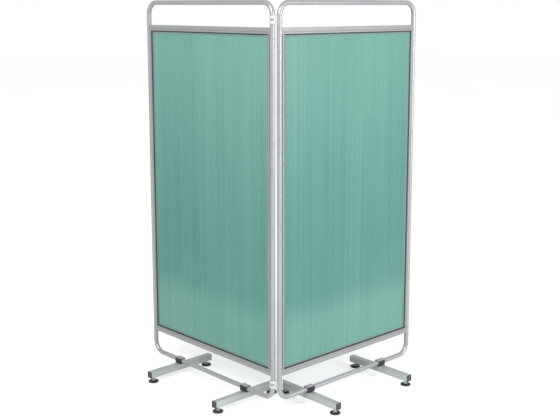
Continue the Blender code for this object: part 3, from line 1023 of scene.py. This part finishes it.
@dataclass
class Outrigger:
    """One square bar with its end caps, levelling feet and the clamp that holds the tube on it."""

    plan: WingPlan
    stock: Stock
    place: Place
    corner: float = 0.0026
    bar_wall: float = 0.002
    bore_depth: float = 0.030
    cap_thickness: float = 0.004
    disc_radius: float = 0.0275
    hub_radius: float = 0.0100
    stud_radius: float = 0.0040
    seat_length: float = 0.050
    seat_wall: float = 0.0027
    saddle_length: float = 0.052
    saddle_thickness: float = 0.0022
    saddle_arch: float = 0.0015
    bolt_radius: float = 0.0030
    bolt_head_radius: float = 0.0070
    bolt_head_height: float = 0.0040
    bolt_seat: float = 0.0025
    bolt_tail: float = 0.003
    bolt_thread_in_bar: float = 0.004
    bolt_pitch: float = 0.001
    nut_flats: float = 0.010
    nut_height: float = 0.005
    washer_radius: float = 0.0062
    washer_height: float = 0.0012
    stud_low: float = 0.0156
    stud_high: float = 0.0460
    stud_pitch: float = 0.00125
    fit: float = 0.0003
    along: float = field(init=False, default=0.0)

    def __post_init__(self) -> None:
        """Find the bar's place along the wing."""
        self.along = self.plan.along(f"outrigger_{self.plan.side.value}_{self.place.value}")

    @property
    def tag(self) -> str:
        """The end of every name in this sub-assembly."""
        return f"{self.plan.side.value}_{self.place.value}"

    def build_bar(self) -> BMesh:
        """The square tube with rounded corners and open ends."""
        s = self.stock
        half = s.bar_reach - self.cap_thickness - self.fit
        bore, bore_corner = s.bar_side - 2 * self.bar_wall, 0.0010
        steps = ((bore, bore_corner, half - self.bore_depth), (bore, bore_corner, half),
                 (s.bar_side, self.corner, half))
        rings = [[(u, reach, z) for u, z in rounded_square(side, corner)] for side, corner, reach in steps]
        bm = lofted(rings + [[(u, -y, z) for u, y, z in ring] for ring in reversed(rings)])
        bmesh.ops.translate(bm, vec=(self.along, 0, s.bar_middle), verts=bm.verts)
        return bm

    def build_cap(self, facing: Facing) -> BMesh:
        """One end cap: a rounded plate with a raised rim and a shallow panel.

        Args:
            facing: Which end of the bar it closes.

        Returns:
            A new mesh.
        """
        s = self.stock
        side = s.bar_side - 0.0002
        face, back = s.bar_reach, s.bar_reach - self.cap_thickness
        steps = ((0.0, back), (0.0, face - 0.0010), (0.0003, face - 0.0004), (0.0010, face), (0.0046, face),
                 (0.0050, face - 0.0003), (0.0054, face - 0.0009), (0.0060, face - 0.0010))
        bm = lofted([[(u, n, z) for u, z in rounded_square(side - 2 * inset, max(self.corner - inset, 0.0009))]
                     for inset, n in steps])
        plug = block((side - 0.0046, 0.012, side - 0.0046), (0, s.bar_reach - 0.010, 0), 0.0008, 2)
        whole = joined([bm, plug])
        if facing is Facing.REAR:
            moved(Matrix.Rotation(math.pi, 4, "Z"), whole)
        bmesh.ops.translate(whole, vec=(self.along, 0, s.bar_middle), verts=whole.verts)
        return whole

    def foot_place(self, facing: Facing) -> Matrix:
        """Matrix that stands a piece at one foot's centre on the floor."""
        return Matrix.Translation((self.along, facing.sign * self.stock.foot_reach, 0))

    def build_disc(self) -> BMesh:
        """The black foot disc: flat tread, raised rim, sunk annulus and central cup."""
        r, h = self.disc_radius, self.hub_radius
        return turned([(0, 0.0012), (r * 0.80, 0.0012), (r * 0.86, 0.0), (r * 0.95, 0.0), (r * 0.985, 0.0006),
                       (r, 0.0018), (r, 0.0052), (r * 0.985, 0.0064), (r * 0.95, 0.0072), (r * 0.88, 0.0076),
                       (r * 0.82, 0.0074), (r * 0.78, 0.0066), (r * 0.60, 0.0068), (h * 1.36, 0.0078),
                       (h * 1.24, 0.0092), (h * 1.18, 0.0096), (h * 1.04, 0.0096), (h, 0.0090),
                       (0, 0.0090)],
                      48)

    def build_hub(self) -> BMesh:
        """The pale hub with its hexagon for a spanner."""
        collar = turned([(0, 0.0088), (self.hub_radius * 0.96, 0.0088), (self.hub_radius, 0.0094),
                         (self.hub_radius, 0.0118), (self.hub_radius * 0.94, 0.0124), (0, 0.0124)], 40)
        bm = bmesh.new()
        bmesh.ops.create_cone(bm, cap_ends=True, cap_tris=False, segments=6, radius1=self.hub_radius * 0.95,
                              radius2=self.hub_radius * 0.95, depth=0.0036)
        rounded(bm, sharp_edges(bm, 50), 0.0004, 2)
        bmesh.ops.translate(bm, vec=(0, 0, 0.0140), verts=bm.verts)
        return joined([collar, bm])

    def build_thread(self, radius: float, start: float, end: float, pitch: float) -> BMesh:
        """A threaded length, shown as close ridges.

        Args:
            radius: Outside radius.
            start: Height of its lower end.
            end: Height of its upper end.
            pitch: Distance between ridges.

        Returns:
            A new mesh.
        """
        profile = [(0, start), (radius * 0.82, start)]
        turns = int((end - start) / pitch)
        for k in range(turns):
            profile += [(radius, start + pitch * (k + 0.35)), (radius * 0.84, start + pitch * (k + 0.85))]
        profile += [(radius * 0.8, end), (0, end)]
        return turned(profile, 24)

    def build_seat(self) -> BMesh:
        """The black clamp block: a cradle round the lower half of the bottom tube."""
        s = self.stock
        groove = s.tube_radius + self.fit
        half = groove + self.seat_wall
        base, top = s.bar_top + self.fit, s.tube_low + s.tube_radius - 0.0004
        start = self.along - self.seat_length / 2
        cradle = [(start, n, s.tube_low + z) for n, z in arc_points(groove, 0, -180, 24)]
        section = [(start, -half, base), (start, half, base), (start, half, top), (start, groove, top), *cradle,
                   (start, -groove, top), (start, -half, top)]
        bm = extruded(section, (self.seat_length, 0, 0))
        outer = [e for e in sharp_edges(bm, 50) if all(abs(v.co.y) > half - 1e-4 for v in e.verts)
                 or all(v.co.z < base + 1e-4 for v in e.verts)]
        rounded(bm, outer, 0.0012, 3)
        return bm

    def build_saddle(self) -> BMesh:
        """The arched steel plate over the tube, with round corners."""
        s = self.stock
        half = s.tube_radius + self.fit + self.seat_wall
        low = s.tube_low + s.tube_radius + self.fit
        bm = bmesh.new()
        bmesh.ops.create_grid(bm, x_segments=12, y_segments=14, size=0.5)
        bmesh.ops.scale(bm, vec=(self.saddle_length, 2 * half, 1), verts=bm.verts)
        for vert in bm.verts:
            vert.co.z = self.saddle_arch * (1 - (vert.co.y / half) ** 2)
        thickened(bm, (0, 0, self.saddle_thickness))
        corners = [e for e in bm.edges if abs(e.verts[0].co.z - e.verts[1].co.z) > 0.001
                   and abs(e.verts[0].co.x) > self.saddle_length / 2 - 1e-4
                   and abs(e.verts[0].co.y) > half - 1e-4]
        rounded(bm, corners, 0.0035, 4)
        rounded(bm, sharp_edges(bm, 55), 0.0005, 2)
        bmesh.ops.translate(bm, vec=(self.along, 0, low), verts=bm.verts)
        return bm

    def build_bolt(self) -> BMesh:
        """Domed bolt head with a round recess, and the threaded end under the nut."""
        s = self.stock
        seat = s.tube_low + s.tube_radius + self.fit + self.saddle_arch + self.bolt_seat + self.fit
        r, h = self.bolt_head_radius, self.bolt_head_height
        head = turned([(0, -0.0004), (r, -0.0004), (r, h * 0.22), (r * 0.95, h * 0.48), (r * 0.80, h * 0.78),
                       (r * 0.58, h * 0.95), (r * 0.45, h), (r * 0.40, h * 0.98), (r * 0.38, h * 0.4),
                       (0, h * 0.35)], 36)
        bmesh.ops.translate(head, vec=(0, 0, seat), verts=head.verts)
        tail = s.foot_height - self.fit - self.nut_height - self.bolt_tail
        top = s.foot_height + self.bolt_thread_in_bar
        thread = self.build_thread(self.bolt_radius, tail, top, self.bolt_pitch)
        return moved(Matrix.Translation((self.along, 0, 0)), joined([head, thread]))

    def build_nut(self) -> BMesh:
        """The hexagon nut under the bar, on a washer."""
        bm = bmesh.new()
        radius = self.nut_flats / 2 / math.cos(math.pi / 6)
        thick = self.washer_height
        depth = self.nut_height - thick
        bmesh.ops.create_cone(bm, cap_ends=True, cap_tris=False, segments=6, radius1=radius, radius2=radius,
                              depth=depth)
        rounded(bm, sharp_edges(bm, 80), 0.0006, 2)
        bmesh.ops.translate(bm, vec=(0, 0, -thick - depth / 2), verts=bm.verts)
        washer = moved(Matrix.Translation((0, 0, -thick)), rod(self.washer_radius, thick, 28, 0.0003))
        under = self.stock.foot_height - self.fit / 2
        return moved(Matrix.Translation((self.along, 0, under)), joined([bm, washer]))

    def dress(self) -> None:
        """Add the bar, caps, clamp and feet."""
        p, tag = self.plan, self.tag
        for name, bm, finish, slot, node in (
                ("square_bar_", self.build_bar(), BAR_SILVER, "bar_paint", "outrigger_"),
                ("clamp_seat_", self.build_seat(), SEAT_BLACK, "seat_plastic", "seat_"),
                ("clamp_saddle_", self.build_saddle(), SADDLE_ZINC, "saddle_steel", "saddle_"),
                ("clamp_bolt_", self.build_bolt(), BOLT_ZINC, "bolt_steel", "bolt_"),
                ("clamp_nut_", self.build_nut(), BOLT_ZINC, "nut_steel", "nut_")):
            p.add(name + tag, bm, finish, slot, node + tag)
        for facing in Facing:
            end = f"{tag}_{facing.value}"
            foot = "foot_" + end
            p.add("end_cap_" + end, self.build_cap(facing), CAP_GREY, "cap_plastic", "cap_" + end)
            stud = self.build_thread(self.stud_radius, self.stud_low, self.stud_high, self.stud_pitch)
            for name, bm, finish, nodes in (("foot_disc_", self.build_disc(), FOOT_BLACK, [foot]),
                                            ("foot_hub_", self.build_hub(), HUB_GREY, []),
                                            ("foot_stud_", stud, STUD_ZINC, [])):
                p.add(name + end, moved(self.foot_place(facing), bm), finish, "foot_plastic", *nodes, body=foot)


@dataclass
class HingeClips:
    """The two white clips that ring the left upright and grip the right one from behind."""

    stock: Stock
    left: WingPlan
    wall: float = 0.0042
    slack: float = 0.0001
    jaw_tip: float = -15.0
    jaw_root: float = 215.0
    ridge: float = 0.0125
    window_start: float = 105.0
    window_end: float = 300.0

    @property
    def frame(self) -> Matrix:
        """Matrix from clip coordinates, X from the left upright to the right one and Y to the back."""
        return Matrix.Translation(self.left.hinge) @ Matrix.Rotation(math.radians(-45.0), 4, "Z")

    def outline(self) -> list[tuple[float, float]]:
        """Plan of the clip.

        Returns:
            Corner points of the outside, with the jaw's bore as part of it.
        """
        s = self.stock
        bore = s.tube_radius + self.slack
        outer = bore + self.wall
        spacing = 2 * s.tube_radius + s.upright_gap
        meet = math.degrees(math.acos(min(spacing / 2 / outer, 1.0)))
        ring = arc_points(outer, meet, 360 - meet, 48)
        inside = [(x + spacing, y) for x, y in arc_points(bore, self.jaw_root, self.jaw_tip, 40)]
        outside = [(x + spacing, y) for x, y in arc_points(outer, self.jaw_tip, 180 - meet, 36)]
        return ring + inside + outside[:-1]

    def build(self, middle: float, height: float) -> BMesh:
        """One clip: two proud bands with a window between them that shows the tube.

        Args:
            middle: Height of the clip's middle.
            height: Its height.

        Returns:
            A new mesh.
        """
        half = height / 2
        bore = self.stock.tube_radius + self.slack
        bm = extruded([(x, y, middle - half) for x, y in self.outline()], (0, 0, height))
        rims = [e for e in sharp_edges(bm, 60) if abs(e.verts[0].co.z - e.verts[1].co.z) < 1e-6]
        rounded(bm, rims, 0.0009, 3)
        tube = moved(Matrix.Translation((0, 0, middle - half - 0.001)), rod(bore, height + 0.002, 48))
        self.cut(bm, tube)
        reach = bore + 2 * self.wall
        sector = arc_points(reach, self.window_start, self.window_end, 16)
        gap = height - 2 * self.ridge
        base = middle - gap / 2
        self.cut(bm, extruded([(0, 0, base)] + [(x, y, base) for x, y in sector], (0, 0, gap)))
        return moved(self.frame, bm)

    def cut(self, bm: BMesh, tool: BMesh) -> None:
        """Take a tool's volume out of a mesh.

        Args:
            bm: The mesh, changed in place.
            tool: The tool, used up.
        """
        objects = []
        for name, part in (("work", bm), ("tool", tool)):
            mesh = bpy.data.meshes.new(name)
            part.to_mesh(mesh)
            objects.append(in_scene(name, mesh))
        work, cutter = objects
        step = work.modifiers.new("cut", "BOOLEAN")
        step.operation, step.solver, step.object, step.use_self = "DIFFERENCE", "EXACT", cutter, True
        graph = bpy.context.evaluated_depsgraph_get()
        result = bpy.data.meshes.new_from_object(work.evaluated_get(graph))
        bm.clear()
        bm.from_mesh(result)
        tool.free()
        bpy.data.meshes.remove(result)
        for item in objects:
            mesh = item.data
            bpy.data.objects.remove(item, do_unlink=True)
            bpy.data.meshes.remove(mesh)

    def dress(self) -> None:
        """Add both clips."""
        for level in ("upper", "lower"):
            low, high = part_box("clip_" + level)
            bm = self.build((low.z + high.z) / 2, high.z - low.z)
            add_piece("hinge_clip_" + level, bm, CLIP_WHITE, ["clip_" + level], "clips", 35)


# ---------------------------------------------------------------------------------------------------
# Studio
# ---------------------------------------------------------------------------------------------------


@dataclass
class Studio:
    """Pale floor, even light and the camera."""

    floor_size: float = 60.0
    camera_place: Point = (-3.5663, -3.8080, 2.0341)
    camera_way: Point = (0.67395, 0.71947, -0.16783)
    lens: float = 62.743
    shift_up: float = -0.0679
    sensor: float = 36.0
    sky: float = 0.62
    lamps: tuple = (("key_lamp", (-4.2, -1.8, 4.4), (0.0, 0.0, 1.2), 2.4, 175.0),
                    ("fill_lamp", (1.4, -4.6, 1.9), (0.1, 0.0, 0.9), 2.6, 100.0))

    def add_floor(self) -> None:
        """A large pale floor."""
        bm = bmesh.new()
        bmesh.ops.create_grid(bm, x_segments=1, y_segments=1, size=self.floor_size / 2)
        mesh = bpy.data.meshes.new("studio_floor")
        bm.to_mesh(mesh)
        bm.free()
        mesh.materials.append(STUDIO_FLOOR.material())
        floor = in_scene("studio_floor", mesh)

    def add_sky(self) -> None:
        """An even surround, white where it is seen and softer as a light."""
        world = bpy.data.worlds.new("studio_world")
        world.use_nodes = True
        tree = world.node_tree
        back = tree.nodes["Background"]
        back.inputs["Color"].default_value = (1.0, 1.0, 1.0, 1.0)
        seen = tree.nodes.new("ShaderNodeLightPath").outputs["Is Camera Ray"]
        level = tree.nodes.new("ShaderNodeMapRange")
        level.inputs[3].default_value, level.inputs[4].default_value = self.sky, 1.0
        tree.links.new(seen, level.inputs[0])
        tree.links.new(level.outputs[0], back.inputs["Strength"])
        bpy.context.scene.world = world

    def add_lamp(self, name: str, place: Point, target: Point, size: float, power: float) -> None:
        """One soft square lamp.

        Args:
            name: The lamp's name.
            place: Where it hangs.
            target: What it points at.
            size: Side of its square.
            power: Its power in watts.
        """
        data = bpy.data.lights.new(name, "AREA")
        data.energy, data.size = power, size
        lamp = in_scene(name, data)
        lamp.location = place
        lamp.rotation_euler = (Vector(target) - Vector(place)).to_track_quat("-Z", "Y").to_euler()

    def add_camera(self) -> None:
        """The camera that looks at the apex of the screen."""
        data = bpy.data.cameras.new("camera")
        data.lens, data.sensor_width, data.shift_y = self.lens, self.sensor, self.shift_up
        camera = in_scene("camera", data)
        camera.location = self.camera_place
        camera.rotation_euler = Vector(self.camera_way).to_track_quat("-Z", "Y").to_euler()
        bpy.context.scene.camera = camera

    def build(self) -> None:
        """Set up everything round the object."""
        self.add_floor()
        self.add_sky()
        for lamp in self.lamps:
            self.add_lamp(*lamp)
        self.add_camera()
        bpy.context.scene.view_settings.view_transform = "Standard"


def corners(bounds: tuple[Vector, Vector]) -> list[list[float]]:
    """Two corners as plain lists."""
    return [[float(value) for value in corner] for corner in bounds]


def main() -> None:
    """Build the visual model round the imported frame."""
    logging.basicConfig(level=logging.INFO, format="%(name)s: %(message)s")
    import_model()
    stock = Stock()
    plans = {side: WingPlan(side, stock) for side in Side}
    for plan in plans.values():
        TubeLoop(plan, stock).dress()
        PanelFrame(plan, stock).dress()
        PanelScrews(plan, stock).dress()
        for place in Place:
            Outrigger(plan, stock, place).dress()
    HingeClips(stock, plans[Side.LEFT]).dress()
    Studio().build()


if __name__ == "__main__":
    main()
